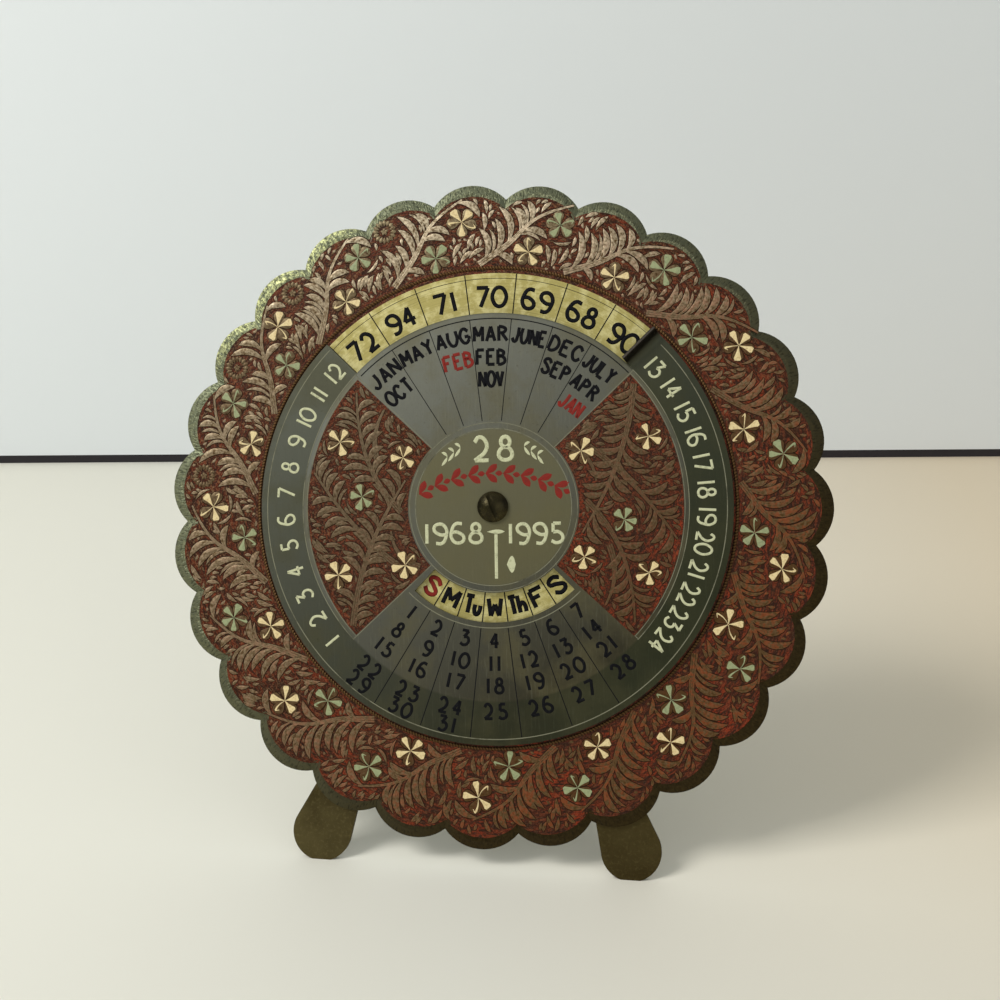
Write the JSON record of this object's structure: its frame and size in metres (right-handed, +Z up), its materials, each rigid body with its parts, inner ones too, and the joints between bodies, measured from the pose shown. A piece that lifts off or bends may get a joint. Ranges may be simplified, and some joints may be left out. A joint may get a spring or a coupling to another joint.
{
  "type": "perpetual desk calendar",
  "caption": "Brass perpetual desk calendar: a notched, slotted dial turns in front of a scalloped engraved plate that leans on paddle feet and a folding strut.",
  "frame": {"origin": "middle of the object's box, on the surface it stands on", "axes": "+Z up, +X to the right of someone who reads the dial, -Y towards that reader"},
  "size_m": [0.1514, 0.0554, 0.1469],
  "materials": {
    "engraved_brass": "engraved, red lacquer in the ground, aged",
    "dial_brass": "satin, toned grey-green",
    "foot_brass": "dull, aged",
    "hardware_brass": "dark, worn"
  },
  "bodies": {
    "stand": {"back_plate": "engraved_brass", "spacer_washer": "hardware_brass", "pivot_screw": "hardware_brass", "back_washer": "hardware_brass", "pivot_nut": "hardware_brass", "left_foot": "foot_brass", "right_foot": "foot_brass", "hinge_leaf": "foot_brass", "hinge_pin": "hardware_brass"},
    "dial": {"dial": "dial_brass"},
    "strut": {"rear_strut": "foot_brass"}
  },
  "joints": [
    {"name": "dial_turn", "type": "hinge", "parent": "stand", "child": "dial", "pos_m": [0, -0.00173, 0.07819], "axis": [0, -0.9397, 0.342], "continuous": true},
    {"name": "strut_fold", "type": "hinge", "parent": "stand", "child": "strut", "pos_m": [0, -0.00223, 0.06348], "axis": [-1, 0, 0], "range_deg": [0, 45]}
  ]
}
